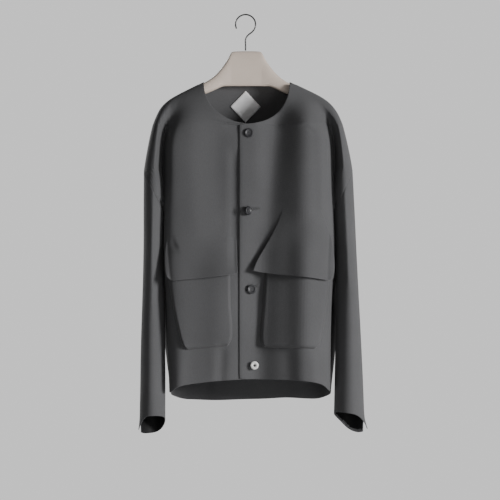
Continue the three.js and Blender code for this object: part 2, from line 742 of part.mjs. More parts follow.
add('front_under', frontPanel(LEFT), CHARCOAL);
add('front_over', frontPanel(RIGHT), CHARCOAL);
add('back', backPanel(), CHARCOAL);
add('sleeve_left', sleeve(LEFT), CHARCOAL);
add('sleeve_right', sleeve(RIGHT), CHARCOAL);
add('flap_left', flap(LEFT, FLAP_LEFT, LAID_GAP.flapLeft), CHARCOAL);
add('flap_right', flap(RIGHT, FLAP_RIGHT, LAID_GAP.flapRight), CHARCOAL);
add('pocket_left', pocket(LEFT, POCKET_LEFT, LAID_GAP.pocketLeft), CHARCOAL);
add('pocket_right', pocket(RIGHT, POCKET_RIGHT, LAID_GAP.pocketRight), CHARCOAL);
add('label', label(), LABEL_WHITE);
add('hanger', hangerGeometry(), CREAM);
add('hook', hookGeometry(), STEEL);
BUTTONS.forEach((row, k) => {
  placeButton(add(`button_${k + 1}`, buttonGeometry(), k === 3 ? SHELL : HORN), row);
});

export default blouson;
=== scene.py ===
import math
from collections import namedtuple

import bmesh
import bpy
import numpy as np
from bpy.props import FloatProperty, FloatVectorProperty, IntProperty, PointerProperty
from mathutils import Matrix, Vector, noise
from mathutils.bvhtree import BVHTree
from mathutils.kdtree import KDTree


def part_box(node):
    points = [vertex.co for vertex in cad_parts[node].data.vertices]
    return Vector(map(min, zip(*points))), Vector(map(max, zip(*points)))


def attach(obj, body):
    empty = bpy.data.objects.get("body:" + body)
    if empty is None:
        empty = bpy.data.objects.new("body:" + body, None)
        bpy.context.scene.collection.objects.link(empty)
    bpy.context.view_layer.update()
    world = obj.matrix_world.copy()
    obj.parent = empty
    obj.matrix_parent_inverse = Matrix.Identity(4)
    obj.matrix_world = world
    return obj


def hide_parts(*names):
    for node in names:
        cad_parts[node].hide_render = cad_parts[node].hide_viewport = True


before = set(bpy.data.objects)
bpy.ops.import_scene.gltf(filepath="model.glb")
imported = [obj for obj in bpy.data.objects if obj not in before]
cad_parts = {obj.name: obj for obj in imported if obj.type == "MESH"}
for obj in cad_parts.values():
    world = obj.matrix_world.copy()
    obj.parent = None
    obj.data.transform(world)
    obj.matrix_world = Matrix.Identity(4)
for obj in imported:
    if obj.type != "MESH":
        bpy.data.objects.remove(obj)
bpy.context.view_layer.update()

bl_info = {
    "name": "Collarless blouson on a hanger",
    "version": (1, 0, 0),
    "blender": (4, 5, 0),
    "location": "3D View > Sidebar > Blouson",
    "description": "Dresses the packed blouson in cloth, buttons and a hanger",
    "category": "Object",
}

MM = 0.001


# Sizes and colours a user would change

class BlousonSizes(bpy.types.PropertyGroup):
    """Sizes of the folds and of the small pieces."""

    fold_strength: FloatProperty(
        name="Fold strength", description="How deep the added folds are, 1 as in the photograph",
        default=1.0, min=0.0, max=2.0)
    ripple: FloatProperty(
        name="Ripple", description="Height of the cloth's small unevenness",
        default=0.0007, unit="LENGTH")
    edge_round: FloatProperty(
        name="Edge crispness", description="Crease of the cloth's cut edges, 1 is sharp",
        default=0.75, min=0.0, max=1.0)
    smoothness: IntProperty(
        name="Smoothness", description="Subdivision levels of the cloth", default=2, min=1, max=3)
    button_radius: FloatProperty(
        name="Button radius", description="Radius of each button", default=0.0094, unit="LENGTH")
    button_depth: FloatProperty(
        name="Button depth", description="Thickness of each button", default=0.0036, unit="LENGTH")
    floor_height: FloatProperty(
        name="Floor height", description="Height of the floor below the hook",
        default=-1.45, unit="LENGTH")


class BlousonColours(bpy.types.PropertyGroup):
    """Base colours, in linear light."""

    cloth: FloatVectorProperty(
        name="Cloth", description="Charcoal cloth", subtype="COLOR", size=3,
        default=(0.085, 0.085, 0.088))
    button: FloatVectorProperty(
        name="Dark button", description="The three dark buttons", subtype="COLOR", size=3,
        default=(0.022, 0.022, 0.025))
    shell: FloatVectorProperty(
        name="Pale button", description="The pale ring at the hem", subtype="COLOR", size=3,
        default=(0.80, 0.79, 0.76))
    label: FloatVectorProperty(
        name="Label", description="The bare neck label", subtype="COLOR", size=3,
        default=(0.86, 0.86, 0.87))
    hanger: FloatVectorProperty(
        name="Hanger", description="The cream hanger", subtype="COLOR", size=3,
        default=(0.66, 0.56, 0.48))
    wire: FloatVectorProperty(
        name="Wire", description="The steel hook", subtype="COLOR", size=3,
        default=(0.09, 0.09, 0.09))
    floor: FloatVectorProperty(
        name="Floor", description="The pale floor", subtype="COLOR", size=3,
        default=(0.62, 0.62, 0.62))


# Small helpers

def mix(a, b, share):
    return a + (b - a) * share


def clamp(value):
    return min(1.0, max(0.0, value))


def clamp_to(value, low, high):
    return min(high, max(low, value))


def smooth(value):
    value = clamp(value)
    return value * value * (3 - 2 * value)


def sizes():
    return bpy.context.scene.blouson_sizes


def colours():
    return bpy.context.scene.blouson_colours


# Shader building

class Signal:
    """A socket on which Python's operators add Math nodes."""

    def __init__(self, shader, socket):
        self.shader = shader
        self.socket = socket

    def _math(self, operation, first, second):
        return self.shader.node("ShaderNodeMath", {"operation": operation}, {0: first, 1: second})

    def __add__(self, other):
        return self._math("ADD", self, other)

    def __sub__(self, other):
        return self._math("SUBTRACT", self, other)

    def __mul__(self, other):
        return self._math("MULTIPLY", self, other)

    def call(self, operation):
        return self._math(operation, self, 0.0)


class Finish:
    """A material or world under construction, with one method for every node."""

    def __init__(self, name, made_in=None):
        self.material = (bpy.data.materials if made_in is None else made_in).new(name)
        self.material.use_nodes = True
        self.tree = self.material.node_tree
        self.bsdf = self.tree.nodes.get("Principled BSDF")

    def node(self, kind, settings=None, values=None, output=0):
        made = self.tree.nodes.new(kind)
        for name, value in (settings or {}).items():
            setattr(made, name, value)
        for socket, value in (values or {}).items():
            self.feed(made.inputs[socket], value)
        return Signal(self, made.outputs[output])

    def feed(self, socket, value):
        if isinstance(value, Signal):
            self.tree.links.new(value.socket, socket)
        else:
            socket.default_value = value

    def place(self):
        return self.node("ShaderNodeTexCoord", output="Object")

    def split(self, vector, axis):
        return self.node("ShaderNodeSeparateXYZ", None, {0: vector}, output=axis)

    def stretched(self, vector, scale):
        return self.node("ShaderNodeMapping", None, {"Vector": vector, "Scale": scale})

    def noise(self, vector, scale, detail=2.0, roughness=0.5):
        return self.node("ShaderNodeTexNoise", None, {
            "Vector": vector, "Scale": scale, "Detail": detail, "Roughness": roughness}, output="Fac")

    def range(self, value, low, high, new_low, new_high):
        return self.node("ShaderNodeMapRange", None, {
            "Value": value, "From Min": low, "From Max": high, "To Min": new_low, "To Max": new_high})

    def blend(self, share, first, second):
        made = self.tree.nodes.new("ShaderNodeMix")
        made.data_type = "RGBA"
        self.feed(made.inputs["Factor"], share)
        self.feed(made.inputs["A"], first)
        self.feed(made.inputs["B"], second)
        return Signal(self, next(s for s in made.outputs if s.type == "RGBA"))

    def bump(self, height, strength, distance):
        self.feed(self.bsdf.inputs["Normal"], self.node("ShaderNodeBump", None, {
            "Height": height, "Strength": strength, "Distance": distance}, output="Normal"))

    def constant(self, **values):
        for name, value in values.items():
            self.bsdf.inputs[name.replace("_", " ")].default_value = value


def shade(colour, factor):
    return (*(min(1.0, channel * factor) for channel in colour), 1.0)


def cloth_finish():
    """Smooth felted charcoal cloth: faint melange, fine nap and a hardly raised twill."""
    finish = Finish("charcoal_cloth")
    place = finish.place()
    melange = finish.noise(finish.stretched(place, (1.0, 1.0, 0.35)), 700.0, 3.0, 0.6)
    broad = finish.noise(place, 7.0, 2.0)
    nap = finish.noise(place, 1600.0, 2.0, 0.7)
    twill_step = 1500.0
    across = finish.split(place, "X").call("ABSOLUTE") + finish.split(place, "Y")
    twill = ((across + finish.split(place, "Z")) * twill_step).call("SINE")
    fine_tone = finish.range(melange, 0.3, 0.7, 0.0, 1.0)
    tone = fine_tone * 0.5 + finish.range(broad, 0.3, 0.7, 0.0, 1.0) * 0.5
    finish.feed(finish.bsdf.inputs["Base Color"], finish.blend(
        tone, shade(colours().cloth, 0.86), shade(colours().cloth, 1.14)))
    finish.feed(finish.bsdf.inputs["Roughness"], finish.range(nap, 0.2, 0.8, 0.82, 0.98))
    finish.bump(nap * 0.7 + twill * 0.12 + melange * 0.3, 0.35, 0.0004)
    finish.constant(Specular_IOR_Level=0.25, Sheen_Weight=0.12, Sheen_Roughness=0.5)
    return finish.material


def cuff_highlight_finish():
    """Painted highlight: a paler grey copy of the cloth where light reaches the inside of the right cuff's
    edge.
    """
    finish = Finish("painted_cuff_highlight")
    place = finish.place()
    grain = finish.noise(finish.stretched(place, (1.0, 1.0, 0.3)), 900.0, 3.0)
    # Painted highlight: the cloth made 1.5 to 2.1 times paler.
    finish.feed(finish.bsdf.inputs["Base Color"], finish.blend(
        grain, shade(colours().cloth, 1.5), shade(colours().cloth, 2.1)))
    finish.feed(finish.bsdf.inputs["Roughness"], finish.range(grain, 0.2, 0.8, 0.75, 0.95))
    finish.bump(grain, 0.3, 0.0003)
    return finish.material


def inside_shade_finish():
    """Painted shade: a near-black copy of the cloth over the sleeves' inside, where shade falls, smooth
    with fine ribs.
    """
    finish = Finish("painted_inside_shade")
    place = finish.place()
    ribs = ((finish.split(place, "X") + finish.split(place, "Y")) * 4000.0).call("SINE")
    grain = finish.noise(place, 500.0, 2.0)
    finish.feed(finish.bsdf.inputs["Base Color"], finish.blend(
        # Painted shade: the cloth darkened to a tenth or so for the sleeves' inside.
        grain, shade(colours().cloth, 0.08), shade(colours().cloth, 0.16)))
    finish.feed(finish.bsdf.inputs["Roughness"], finish.range(grain, 0.2, 0.8, 0.6, 0.75))
    finish.bump(ribs, 0.15, 0.0002)
    finish.constant(Specular_IOR_Level=0.2)
    return finish.material


def thread_finish():
    """Twisted sewing thread, a little darker than the cloth."""
    finish = Finish("dark_thread")
    place = finish.place()
    twist = ((finish.split(place, "X") + finish.split(place, "Z")) * 6000.0).call("SINE")
    share = finish.range(twist, -1.0, 1.0, 0.0, 1.0)
    finish.feed(finish.bsdf.inputs["Base Color"], finish.blend(
        share, shade(colours().cloth, 0.4), shade(colours().cloth, 0.75)))
    finish.feed(finish.bsdf.inputs["Roughness"], finish.range(twist, -1.0, 1.0, 0.6, 0.8))
    finish.bump(twist, 0.4, 0.0002)
    return finish.material


def lips_finish():
    """Closely worked buttonhole silk, which catches the light."""
    finish = Finish("buttonhole_silk")
    place = finish.place()
    stitches = ((finish.split(place, "X") + finish.split(place, "Z") * 0.4) * 9000.0).call("SINE")
    share = finish.range(stitches, -1.0, 1.0, 0.0, 1.0)
    finish.feed(finish.bsdf.inputs["Base Color"], finish.blend(
        share, shade(colours().cloth, 0.35), shade(colours().cloth, 0.8)))
    finish.feed(finish.bsdf.inputs["Roughness"], finish.range(stitches, -1.0, 1.0, 0.4, 0.55))
    finish.bump(stitches, 0.4, 0.0002)
    return finish.material


def button_finish(name, colour, rough):
    """Cast button stock with faint clouds and fine turning marks."""
    finish = Finish(name)
    place = finish.place()
    clouds = finish.noise(place, 160.0, 4.0, 0.6)
    marks = finish.noise(place, 1400.0, 2.0)
    finish.feed(finish.bsdf.inputs["Base Color"], finish.blend(
        finish.range(clouds, 0.3, 0.7, 0.0, 1.0), shade(colour, 0.8), shade(colour, 1.2)))
    finish.feed(finish.bsdf.inputs["Roughness"], finish.range(marks, 0.2, 0.8, rough, rough + 0.14))
    finish.bump(marks, 0.12, 0.0002)
    return finish.material


def label_finish():
    """Bare woven tape: fine ribs across and along."""
    finish = Finish("woven_label")
    place = finish.place()
    x, z = finish.split(place, "X"), finish.split(place, "Z")
    warp = ((x + z) * 7000.0).call("SINE")
    weft = ((x - z) * 7000.0).call("SINE")
    weave = warp * weft
    soft = finish.noise(place, 60.0, 2.0)
    tone = finish.range(weave, -1.0, 1.0, 0.0, 0.6) + soft * 0.4
    finish.feed(finish.bsdf.inputs["Base Color"], finish.blend(
        tone, shade(colours().label, 0.88), shade(colours().label, 1.06)))
    finish.feed(finish.bsdf.inputs["Roughness"], finish.range(weave, -1.0, 1.0, 0.6, 0.8))
    finish.bump(weave, 0.25, 0.0002)
    return finish.material


def hanger_finish():
    """Smooth lacquered cream with faint clouds and a fine orange-peel skin."""
    finish = Finish("cream_lacquer")
    place = finish.place()
    clouds = finish.noise(place, 14.0, 3.0)
    skin = finish.noise(place, 420.0, 2.0)
    share = finish.range(clouds, 0.3, 0.7, 0.0, 1.0)
    finish.feed(finish.bsdf.inputs["Base Color"], finish.blend(
        share, shade(colours().hanger, 0.95), shade(colours().hanger, 1.05)))
    finish.feed(finish.bsdf.inputs["Roughness"], finish.range(skin, 0.2, 0.8, 0.42, 0.55))
    finish.bump(skin, 0.06, 0.0003)
    finish.constant(Specular_IOR_Level=0.4)
    return finish.material


def wire_finish():
    """Drawn steel wire, dulled, with marks round it."""
    finish = Finish("drawn_wire")
    place = finish.place()
    marks = finish.noise(finish.stretched(place, (1.0, 1.0, 6.0)), 500.0, 3.0)
    finish.feed(finish.bsdf.inputs["Base Color"], finish.blend(
        marks, shade(colours().wire, 0.7), shade(colours().wire, 1.5)))
    finish.feed(finish.bsdf.inputs["Roughness"], finish.range(marks, 0.2, 0.8, 0.3, 0.5))
    finish.bump(marks, 0.1, 0.0002)
    finish.constant(Metallic=0.9)
    return finish.material


def floor_finish():
    """Plain pale floor with a hardly seen grain."""
    finish = Finish("pale_floor")
    grain = finish.noise(finish.place(), 3.0, 3.0)
    finish.feed(finish.bsdf.inputs["Base Color"], finish.blend(
        grain, shade(colours().floor, 0.97), shade(colours().floor, 1.03)))
    finish.feed(finish.bsdf.inputs["Roughness"], finish.range(grain, 0.2, 0.8, 0.8, 0.9))
    return finish.material


MADE = {}


def material(name):
    """Each finish is made once and shared."""
    makers = {
        "cloth": cloth_finish,
        # The facing entry is a painted highlight at the right cuff's edge.
        "facing": cuff_highlight_finish,
        # Painted shade over the sleeves' inside.
        "inside_shade": inside_shade_finish,
        "thread": thread_finish,
        "lips": lips_finish,
        "button": lambda: button_finish("dark_button", colours().button, 0.38),
        "shell": lambda: button_finish("pale_button", colours().shell, 0.28),
        "label": label_finish,
        "hanger": hanger_finish,
        "wire": wire_finish,
        "floor": floor_finish,
    }
    if name not in MADE:
        MADE[name] = makers[name]()
    return MADE[name]


# Mesh building

def new_piece(name, bm, finish, on_body=True):
    mesh = bpy.data.meshes.new(name)
    bm.to_mesh(mesh)
    bm.free()
    for polygon in mesh.polygons:
        polygon.use_smooth = True
    piece = bpy.data.objects.new(name, mesh)
    bpy.context.scene.collection.objects.link(piece)
    piece.data.materials.append(material(finish))
    if on_body:
        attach(piece, "root")
    return piece


def bake_modifiers(piece):
    """Puts the modified mesh in the piece and clears its modifiers."""
    bpy.context.view_layer.update()
    graph = bpy.context.evaluated_depsgraph_get()
    made = bpy.data.meshes.new_from_object(piece.evaluated_get(graph))
    old = piece.data
    piece.modifiers.clear()
    piece.data = made
    made.name = old.name
    bpy.data.meshes.remove(old)


# Vertices of a solid nearer than this are one, and edges sharper than this angle keep a crease.
WELD = 0.00002
CREASE_ANGLE = math.radians(50)


def refined(name, node, finish, levels, crease):
    """A finer, rounded copy of a CAD node's solid, which it replaces."""
    bm = bmesh.new()
    bm.from_mesh(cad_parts[node].data)
    bmesh.ops.remove_doubles(bm, verts=bm.verts, dist=WELD)
    bmesh.ops.join_triangles(
        bm, faces=bm.faces, angle_face_threshold=math.radians(35), angle_shape_threshold=math.radians(60))
    layer = bm.edges.layers.float.new("crease_edge")
    for edge in bm.edges:
        if edge.is_manifold and edge.calc_face_angle(0.0) > CREASE_ANGLE:
            edge[layer] = crease
    piece = new_piece(name, bm, finish)
    subdivision = piece.modifiers.new("Subdivision", "SUBSURF")
    subdivision.levels = levels
    subdivision.render_levels = levels
    bake_modifiers(piece)
    for polygon in piece.data.polygons:
        polygon.use_smooth = True
    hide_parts(node)
    return piece


# Folds

# A soft fold from one point to another on a front or back, in mm, with its half width
# and how far it stands out.
Fold = namedtuple("Fold", "top_x top_z foot_x foot_z width lift")

FRONT_FOLDS = (
    Fold(72, -190, 42, -450, 24, -7.0),
    Fold(122, -190, 114, -440, 24, 6.0),
    Fold(36, -460, 26, -870, 26, -8.5),
    Fold(116, -460, 110, -870, 24, 8.0),
    Fold(-23, -290, -23, -530, 8, -4.5),
    Fold(-46, -685, -52, -800, 9, -5.0),
    Fold(88, -690, 94, -800, 15, -3.0),
    Fold(-172, -496, -140, -480, 13, -3.2),
    Fold(-112, -200, -100, -470, 22, 2.0),
    Fold(-60, -230, -46, -460, 20, -1.6),
    Fold(20, -230, 34, -420, 16, 1.4),
    Fold(150, -250, 156, -420, 9, 2.2),
    Fold(-128, -680, -134, -800, 12, 2.4),
    Fold(134, -700, 140, -800, 10, 2.4),
)
BACK_FOLDS = (
    Fold(-120, -330, -126, -800, 13, 3.0),
    Fold(20, -330, 26, -800, 15, 2.6),
    Fold(100, -420, 112, -800, 12, -2.6),
    Fold(-60, -450, -62, -800, 11, -2.2),
    Fold(-110, -170, -40, -235, 16, -2.2),
    Fold(120, -175, 50, -245, 18, -2.4),
    Fold(-4, -200, -8, -330, 22, 1.8),
)
# How far a fold runs past its ends, as a share of its length, and how fast it fades there.
FOLD_OVERRUN = 0.12
FOLD_FADE = 4
# Waves of the small unevenness to a metre, across and down, and its finer part's size and scale.
RIPPLE_ACROSS = 9
RIPPLE_DOWN = 5
FINE_SIZE = 0.4
FINE_SCALE = 2.3
# The X at which folds end at the body's sides, over what width they fade there, and the depth
# from the middle plane over which they grow.
SIDE_X = 0.185
SIDE_FADE = 0.035
DEPTH_FADE = 0.03
# Half the width and half the depth of a sleeve.
SLEEVE_HALF = (0.024, 0.052)
# The Y of a sleeve's middle at its cuff, and the height and span over which it leans there.
SLEEVE_LEAN = -0.023
LEAN_FROM = -0.4
LEAN_SPAN = 0.46
# The height at which dents begin below the armhole and end above the cuff, and the fade of each.
DENTS_TOP = (-0.345, 0.06)
DENTS_FOOT = (-0.86, 0.05)
# How far a sleeve rises to its armhole's seam, and the height and span over which it does.
SEAM_RISE = 0.0011
SEAM_FADE = (-0.44, 0.07)
# Dents and ridges on the sleeves: the turn in degrees from the outer edge over the front.
Dent = namedtuple("Dent", "turn z tall wide lift")
SLEEVE_DENTS = (
    Dent(172, -500, 70, 34, 2.6),
    Dent(60, -470, 60, 30, -1.4),
    Dent(115, -560, 90, 34, -1.8),
    Dent(80, -640, 120, 26, 1.4),
    Dent(40, -720, 60, 30, -1.5),
    Dent(250, -500, 80, 36, -2.2),
    Dent(290, -620, 70, 30, 1.8),
    Dent(230, -700, 60, 30, -1.8),
)


def fold_out(folds, x, z):
    """How far a set of folds moves a point out, in mm."""
    total = 0.0
    for fold in folds:
        path = Vector((fold.foot_x - fold.top_x, fold.foot_z - fold.top_z))
        away = Vector((x - fold.top_x, z - fold.top_z))
        along = away.dot(path) / path.length_squared
        across = (away - path * clamp(along)).length / fold.width
        fade = smooth((along + FOLD_OVERRUN) * FOLD_FADE) * smooth((1 + FOLD_OVERRUN - along) * FOLD_FADE)
        total += fold.lift * fade * math.exp(-across * across)
    return total


def ripple(co, seed):
    """Small unevenness of the cloth, the same in every run."""
    place = Vector((co.x * RIPPLE_ACROSS, co.y * RIPPLE_ACROSS + seed, co.z * RIPPLE_DOWN))
    return noise.noise(place) + FINE_SIZE * noise.noise(place * FINE_SCALE)


def fold_body(piece, facing, folds, seed):
    """Lays folds over a front or back, fading out towards its side edges."""
    strength = sizes().fold_strength * MM
    for vertex in piece.data.vertices:
        co = vertex.co
        edge = smooth((SIDE_X - abs(co.x)) / SIDE_FADE) * smooth(abs(co.y) / DEPTH_FADE)
        out = fold_out(folds, co.x / MM, co.z / MM) * strength + ripple(co, seed) * sizes().ripple
        co.y += facing * out * edge


def dent_sleeve(piece, side, seed):
    """Gives a sleeve its uneven dents and ridges, and closes it up to the armhole's seam."""
    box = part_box(f"sleeve_{'left' if side < 0 else 'right'}")
    low, high = Vector(box[0]), Vector(box[1])
    for vertex in piece.data.vertices:
        co = vertex.co
        lean = mix(0.0, SLEEVE_LEAN, clamp((LEAN_FROM - co.z) / LEAN_SPAN))
        away = Vector((co.x, co.y)) - Vector((mix(low.x, high.x, 0.5), lean))
        turn = math.degrees(math.atan2(-away.y / SLEEVE_HALF[1], side * away.x / SLEEVE_HALF[0])) % 360
        out = ripple(co, seed) * sizes().ripple
        for dent in SLEEVE_DENTS:
            around = (turn - dent.turn + 180) % 360 - 180
            fall = (around / dent.wide) ** 2 + ((co.z / MM - dent.z) / dent.tall) ** 2
            out += dent.lift * MM * sizes().fold_strength * math.exp(-fall)
        fade = smooth((DENTS_TOP[0] - co.z) / DENTS_TOP[1]) * smooth((co.z - DENTS_FOOT[0]) / DENTS_FOOT[1])
        co.xy = co.xy + away.normalized() * out * fade
        co.z += SEAM_RISE * smooth((co.z - SEAM_FADE[0]) / SEAM_FADE[1])


# The X on each side past which a laid piece no longer follows the front round its side.
FRONT_REACH = (-0.150, 0.164)
# How strongly its cloth then curves back, per metre.
TURN_BACK = 26.0
# The wall of a laid cloth and the round of its edges.
LAID_WALL = 0.0017
LAID_BEVEL = 0.0005


class LaidOn:
    """The finished fronts, on which flaps, pockets and buttonholes are laid."""

    tree = None

    @classmethod
    def read(cls, pieces):
        bm = bmesh.new()
        for piece in pieces:
            bm.from_mesh(piece.data)
        cls.tree = BVHTree.FromBMesh(bm)
        bm.free()

    @classmethod
    def y_at(cls, x, z, widen=0.0):
        """The front's outer Y at a place, and at its edge for a place beyond it."""
        at = clamp_to(x, FRONT_REACH[0] - widen, FRONT_REACH[1] + widen)
        hit = cls.tree.ray_cast(Vector((at, -0.5, z)), Vector((0, 1, 0)))
        if hit[0] is None:
            raise RuntimeError("no front behind a laid piece")
        return hit[0].y + TURN_BACK * (x - at) ** 2


def laid_cloth(name, node, place, columns, rows):
    """A cloth sheet laid on the fronts. place turns its two shares into a point."""
    bm = bmesh.new()
    bmesh.ops.create_grid(bm, x_segments=columns, y_segments=rows, size=0.5)
    for vert in bm.verts:
        vert.co = place(vert.co.x + 0.5, 0.5 - vert.co.y)
    bmesh.ops.recalc_face_normals(bm, faces=bm.faces)
    bm.normal_update()
    if sum(face.normal.y for face in bm.faces) > 0:
        bmesh.ops.reverse_faces(bm, faces=bm.faces)
    piece = new_piece(name, bm, "cloth")
    wall = piece.modifiers.new("Wall", "SOLIDIFY")
    wall.thickness = LAID_WALL
    wall.offset = -1
    wall.use_even_offset = True
    edge = piece.modifiers.new("Edge", "BEVEL")
    edge.width = LAID_BEVEL
    edge.segments = 2
    edge.limit_method = "ANGLE"
    edge.angle_limit = CREASE_ANGLE
    bake_modifiers(piece)
    for polygon in piece.data.polygons:
        polygon.use_smooth = True
    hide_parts(node)
    return piece


# Pieces

FRONT = -1
BACK = 1
LEFT = -1
RIGHT = 1
HANGER_TOP = -74


class BLOUSON_OT_fronts(bpy.types.Operator):
    """Lays the two fronts."""

    bl_idname = "blouson.fronts"
    bl_label = "Fronts"

    def execute(self, context):
        pieces = []
        cuts = (("front_under", (0.30, 0.66), 0.153), ("front_over", (0.30, 0.67), 0.158))
        for name, flat, area in cuts:
            piece = refined(name + "_cloth", name, "cloth", sizes().smoothness, sizes().edge_round)
            fold_body(piece, FRONT, FRONT_FOLDS, 1.0)
            pieces.append(piece)
        LaidOn.read(pieces)
        return {"FINISHED"}


class BLOUSON_OT_back(bpy.types.Operator):
    """Hangs the back."""

    bl_idname = "blouson.back"
    bl_label = "Back"

    def execute(self, context):
        piece = refined("back_cloth", "back", "cloth", sizes().smoothness, sizes().edge_round)
        fold_body(piece, BACK, BACK_FOLDS, 5.0)
        round_hem(piece)
        return {"FINISHED"}


# A cuff's rim: faces below this height whose normal points down more than this.
CUFF_RIM_BELOW = -0.81
RIM_NORMAL = -0.7
# The painted highlight inside the cuff: below this height, and nearer to the rim than this.
HIGHLIGHT_BELOW = -0.78
HIGHLIGHT_WIDTH = 0.0055
# Faces whose normal points down more than this are no part of a sleeve's inside.
INSIDE_NORMAL = -0.5
# The back's hem: where its corners start to rise and over what width, and how high they rise.
HEM_CORNER = {LEFT: (0.118, 0.050), RIGHT: (0.140, 0.046)}
HEM_RISE = 0.017
# The height over which the hem's changes die away.
HEM_TAIL = 0.09
# Where the hem wanders: the X, the half width and how far up.
HEM_WANDER = ((0.085, 0.035, 0.0028), (-0.06, 0.05, -0.0025))


def round_hem(piece):
    """Rounds the corners of the back's hem and lets the hem between them wander a little."""
    foot = min(vertex.co.z for vertex in piece.data.vertices)
    for vertex in piece.data.vertices:
        co = vertex.co
        start, width = HEM_CORNER[RIGHT if co.x > 0 else LEFT]
        rise = HEM_RISE * clamp((abs(co.x) - start) / width) ** 2
        wander = sum(up * math.exp(-((co.x - x) / wide) ** 2) for x, wide, up in HEM_WANDER)
        co.z += (rise + wander) * smooth((foot + HEM_TAIL - co.z) / HEM_TAIL)


def paint_cuff_shade_and_highlight(piece, highlighted):
    """Paints shade over the inside of a sleeve as a near-black copy of the cloth, and where asked a painted
    highlight, a paler grey copy, along the cuff's edge.
    """
    # The facing finish is a painted highlight along the cuff's edge.
    piece.data.materials.append(material("facing"))
    # Painted shade over the sleeve's inside.
    piece.data.materials.append(material("inside_shade"))
    rims = [polygon.center for polygon in piece.data.polygons
            if polygon.normal.z < RIM_NORMAL and polygon.center.z < CUFF_RIM_BELOW]
    tree = KDTree(len(rims))
    for number, centre in enumerate(rims):
        tree.insert(centre, number)
    tree.balance()
    box = [Vector(corner) for corner in (piece.bound_box[0], piece.bound_box[6])]
    middle = (box[0] + box[1]) / 2
    for polygon in piece.data.polygons:
        inward = (middle - polygon.center).to_2d().dot(polygon.normal.to_2d()) > 0
        if inward and polygon.normal.z > INSIDE_NORMAL:
            low = highlighted and polygon.center.z < HIGHLIGHT_BELOW
            near_edge = low and tree.find(polygon.center)[2] < HIGHLIGHT_WIDTH
            # Index 1 paints a highlight along the cuff's edge, index 2 paints shade over the inside.
            polygon.material_index = 1 if near_edge else 2


class BLOUSON_OT_sleeves(bpy.types.Operator):
    """Hangs the two sleeves."""

    bl_idname = "blouson.sleeves"
    bl_label = "Sleeves"

    def execute(self, context):
        for side, name in ((LEFT, "left"), (RIGHT, "right")):
            node = f"sleeve_{name}"
            piece = refined(node + "_cloth", node, "cloth", sizes().smoothness, sizes().edge_round)
            dent_sleeve(piece, side, 3.0 + side)
            # Only the right cuff, on the key light's side, gets the painted highlight.
            paint_cuff_shade_and_highlight(piece, side == RIGHT)
        return {"FINISHED"}


# A flap's inner and outer edge at drops below the hanger's top, in mm, as the part has them.
FlapRow = namedtuple("FlapRow", "drop inner outer")
FLAP_LEFT = (
    FlapRow(384, -19, -156),
    FlapRow(400, -18, -160),
    FlapRow(425, -17, -163),
    FlapRow(452, -16, -161),
    FlapRow(467, -15.5, -157),
)
FLAP_RIGHT = (
    FlapRow(322, 76, 146),
    FlapRow(335, 74, 152),
    FlapRow(355, 68, 162),
    FlapRow(385, 54, 173),
    FlapRow(412, 39, 178),
    FlapRow(441, 23, 179),
    FlapRow(460, 16, 176),
)
# A flap's lift at its free edge, how its top sinks into the front, and how its lift grows.
FLAP_LIFT = 19.5
FLAP_SINK = 0.25
FLAP_POWER = 1.7
# How far a flap's outer end hangs below its inner end, and how that grows across it.
FLAP_SLANT = {LEFT: 15, RIGHT: 22}
SLANT_POWER = 0.8
# How far a flap's corners are rounded up, and the shares of its width that they take.
FLAP_CORNER = {LEFT: 8, RIGHT: 5}
FLAP_INNER_CORNER = {LEFT: 3, RIGHT: 0}
CORNER_SHARE = 0.1
FLAP_INNER_SHARE = 0.04
# The wave in a flap: how far it stands out, and its radians across the width.
FLAP_WAVE = 1.2
FLAP_WAVE_RADIANS = 9.0
# How far past the front's reach a flap's top follows the front, in metres.
FLAP_WIDEN = 0.009

# A pocket's edges from mouth to bottom.
POCKET_LEFT = (
    FlapRow(450, -31, -160),
    FlapRow(530, -29, -146),
    FlapRow(590, -26, -132),
    FlapRow(620, -30, -122),
)
POCKET_RIGHT = (
    FlapRow(448, 41, 171),
    FlapRow(530, 35, 164),
    FlapRow(590, 31, 154),
    FlapRow(618, 33, 146),
)
# How far a pocket stands out at its mouth and below, and the share of its height between them.
POCKET_MOUTH_LIFT = 6.0
POCKET_LIFT = 11.5
POCKET_FULL = 0.45
# How far its edge sinks into the front, and the shares of its width and its height that turn back.
POCKET_SINK = 0.3
POCKET_EDGE = 0.05
POCKET_RIM = 0.045
# How far its bottom's inner end rises, and how far its corners are rounded up.
POCKET_TILT = {LEFT: 9, RIGHT: 4}
POCKET_CORNER = 7
POCKET_INNER_SHARE = 0.08
# The sag in a pocket: its size, its radians down and across, and the share where it is full.
POCKET_SAG = 1.2
SAG_RADIANS_DOWN = 5.5
SAG_RADIANS_ACROSS = 2
SAG_FULL = 0.3


def on_rows(rows, name, drop):
    """Reads a column at a drop, on a smooth curve through the rows."""
    last = len(rows) - 1
    k = 0
    while k < last - 1 and drop > rows[k + 1].drop:
        k += 1

    def slope(row):
        above, below = rows[max(row - 1, 0)], rows[min(row + 1, last)]
        return (getattr(below, name) - getattr(above, name)) / (below.drop - above.drop)

    span = rows[k + 1].drop - rows[k].drop
    t = clamp((drop - rows[k].drop) / span)
    start = getattr(rows[k], name) * (1 + 2 * t) * (1 - t) ** 2 + slope(k) * span * t * (1 - t) ** 2
    return start + getattr(rows[k + 1], name) * t * t * (3 - 2 * t) + slope(k + 1) * span * t * t * (t - 1)


def outer_round(share):
    """Grows from 0 to 1 over the last share of a width or height."""
    return smooth((share - (1 - CORNER_SHARE)) / CORNER_SHARE)


def inner_round(share, span):
    """Falls from 1 to 0 over the first share of a width."""
    return smooth((span - share) / span)


